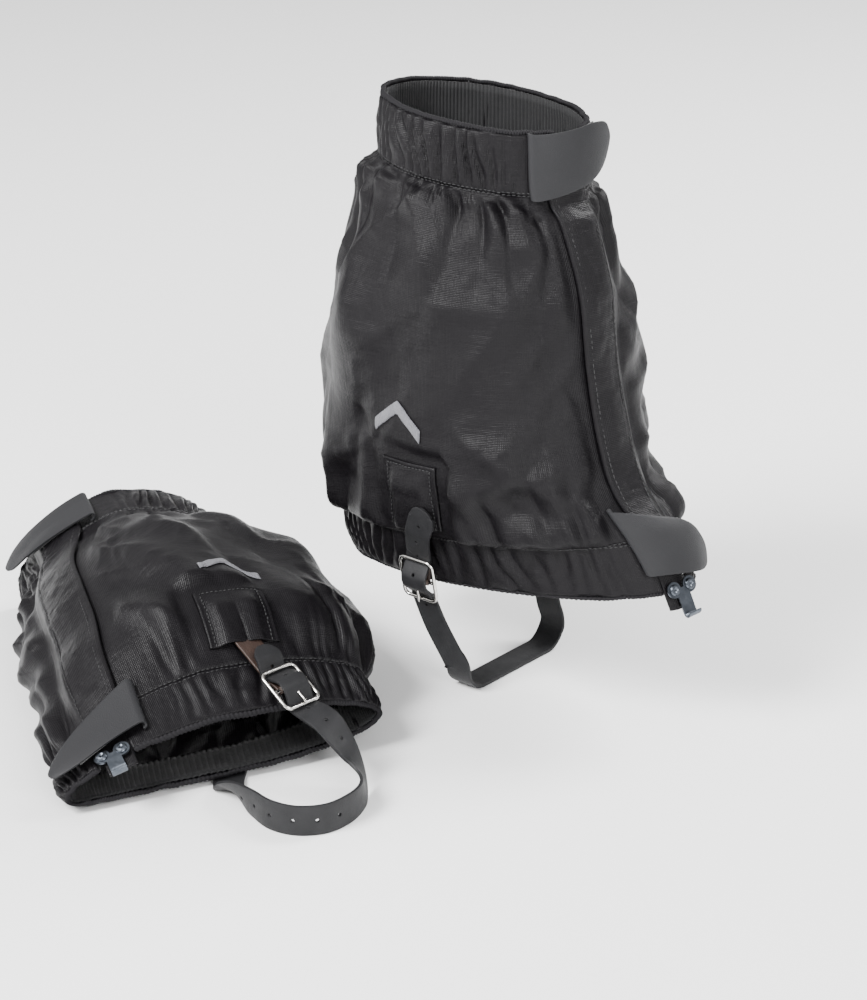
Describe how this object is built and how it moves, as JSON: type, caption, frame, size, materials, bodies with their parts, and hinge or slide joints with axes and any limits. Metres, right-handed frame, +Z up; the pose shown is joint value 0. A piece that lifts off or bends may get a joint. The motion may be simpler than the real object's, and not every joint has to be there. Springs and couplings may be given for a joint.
{
  "type": "ankle gaiters",
  "caption": "Pair of low ankle gaiters, one shaped as worn and one laid flat, with gathered cuffs, a front closing flap, pull tabs, lace hook and buckled instep strap.",
  "frame": {"origin": "on the ground under the middle of the worn gaiter's instep strap, where the boot's arch sits", "axes": "+X towards the toe of the worn gaiter, +Z up the leg, -Y to its outer side"},
  "size_m": [0.3963, 0.3414, 0.3197],
  "materials": {
    "nylon": "satin dense woven nylon",
    "elastic": "ribbed elastic",
    "binding": "corded overlock binding",
    "loop": "loop pile",
    "hook_tape": "hook tape",
    "coated_sheet": "matte coated sheet",
    "zinc": "zinc plated",
    "strap_brown": "smooth leather",
    "nickel": "bright nickel wire",
    "strap_leather": "smooth coated strap",
    "thread": "satin stitch"
  },
  "bodies": {
    "worn_sleeve": {"worn_body": "nylon", "worn_top_cuff": "nylon", "worn_bottom_cuff": "nylon", "worn_top_elastic": "elastic", "worn_bottom_elastic": "elastic", "worn_top_binding": "binding", "worn_bottom_binding": "binding", "worn_under_flap": "nylon", "worn_loop_tape": "loop", "worn_lace_hook": "zinc", "worn_rivets": "zinc", "worn_rivet_caps": "zinc", "worn_patch": "nylon", "worn_anchor": "nylon", "worn_emblem": "thread"},
    "worn_flap_body": {"worn_flap": "nylon", "worn_hook_tape": "hook_tape"},
    "worn_top_tab_body": {"worn_top_tab": "coated_sheet", "worn_top_tab_hook": "hook_tape"},
    "worn_bottom_tab_body": {"worn_bottom_tab": "coated_sheet", "worn_bottom_tab_hook": "hook_tape"},
    "worn_strap_body": {"worn_chape": "strap_brown", "worn_buckle": "nickel", "worn_strap": "strap_leather"},
    "worn_prong_body": {"worn_prong": "nickel"},
    "laid_sleeve": {"laid_body": "nylon", "laid_top_cuff": "nylon", "laid_bottom_cuff": "nylon", "laid_top_elastic": "elastic", "laid_bottom_elastic": "elastic", "laid_top_binding": "binding", "laid_bottom_binding": "binding", "laid_under_flap": "nylon", "laid_loop_tape": "loop", "laid_lace_hook": "zinc", "laid_rivets": "zinc", "laid_rivet_caps": "zinc", "laid_patch": "nylon", "laid_anchor": "nylon", "laid_emblem": "thread"},
    "laid_flap_body": {"laid_flap": "nylon", "laid_hook_tape": "hook_tape"},
    "laid_top_tab_body": {"laid_top_tab": "coated_sheet", "laid_top_tab_hook": "hook_tape"},
    "laid_bottom_tab_body": {"laid_bottom_tab": "coated_sheet", "laid_bottom_tab_hook": "hook_tape"},
    "laid_strap_body": {"laid_chape": "strap_brown", "laid_buckle": "nickel", "laid_strap": "strap_leather"},
    "laid_prong_body": {"laid_prong": "nickel"}
  },
  "joints": [
    {"name": "worn_top_tab_hinge", "type": "hinge", "parent": "worn_sleeve", "child": "worn_top_tab_body", "pos_m": [0.03513, -0.0255, 0.29535], "axis": [0.0908, -0.0059, -0.9958], "range_deg": [0, 140]},
    {"name": "worn_bottom_tab_hinge", "type": "hinge", "parent": "worn_sleeve", "child": "worn_bottom_tab_body", "pos_m": [0.09498, -0.02503, 0.10748], "axis": [0.5043, 0.0301, -0.863], "range_deg": [0, 140]},
    {"name": "worn_flap_hinge", "type": "hinge", "parent": "worn_sleeve", "child": "worn_flap_body", "pos_m": [0.07991, 0.00431, 0.20276], "axis": [-0.3102, 0.0003, 0.9507], "range_deg": [0, 40]},
    {"name": "worn_strap_hinge", "type": "hinge", "parent": "worn_sleeve", "child": "worn_strap_body", "pos_m": [-0.018, 0, 0.106], "axis": [0, 1, 0], "range_deg": [-8, 8]},
    {"name": "worn_prong_hinge", "type": "hinge", "parent": "worn_strap_body", "child": "worn_prong_body", "pos_m": [-0.018, -0.05378, 0.06575], "axis": [-1, 0, 0], "range_deg": [0, 60]},
    {"name": "laid_lift", "type": "slide", "parent": "worn_sleeve", "child": "laid_sleeve", "axis": [0, 0, 1], "range_m": [0, 0.3]},
    {"name": "laid_top_tab_hinge", "type": "hinge", "parent": "laid_sleeve", "child": "laid_top_tab_body", "pos_m": [-0.23267, -0.09619, 0.0644], "axis": [-0.8347, 0.5504, 0.0191], "range_deg": [0, 140]},
    {"name": "laid_bottom_tab_hinge", "type": "hinge", "parent": "laid_sleeve", "child": "laid_bottom_tab_body", "pos_m": [-0.06263, -0.22225, 0.04662], "axis": [-0.8242, 0.3964, 0.4043], "range_deg": [0, 140]},
    {"name": "laid_flap_hinge", "type": "hinge", "parent": "laid_sleeve", "child": "laid_flap_body", "pos_m": [-0.16798, -0.19247, 0.03863], "axis": [0.8119, -0.5821, -0.0445], "range_deg": [0, 26]},
    {"name": "laid_strap_hinge", "type": "hinge", "parent": "laid_sleeve", "child": "laid_strap_body", "pos_m": [-0.04661, -0.15938, 0], "axis": [0, 0, 1], "range_deg": [-8, 0]},
    {"name": "laid_prong_hinge", "type": "hinge", "parent": "laid_strap_body", "child": "laid_prong_body", "pos_m": [-0.01124, -0.16247, 0.04461], "axis": [-0.0872, -0.9962, 0], "range_deg": [0, 60]}
  ],
  "couplings": [
    {"joint": "worn_bottom_tab_hinge", "follows": "worn_top_tab_hinge", "ratio": 1},
    {"joint": "worn_flap_hinge", "follows": "worn_top_tab_hinge", "ratio": 0.28},
    {"joint": "laid_bottom_tab_hinge", "follows": "laid_top_tab_hinge", "ratio": 1},
    {"joint": "laid_flap_hinge", "follows": "laid_top_tab_hinge", "ratio": 0.18}
  ]
}
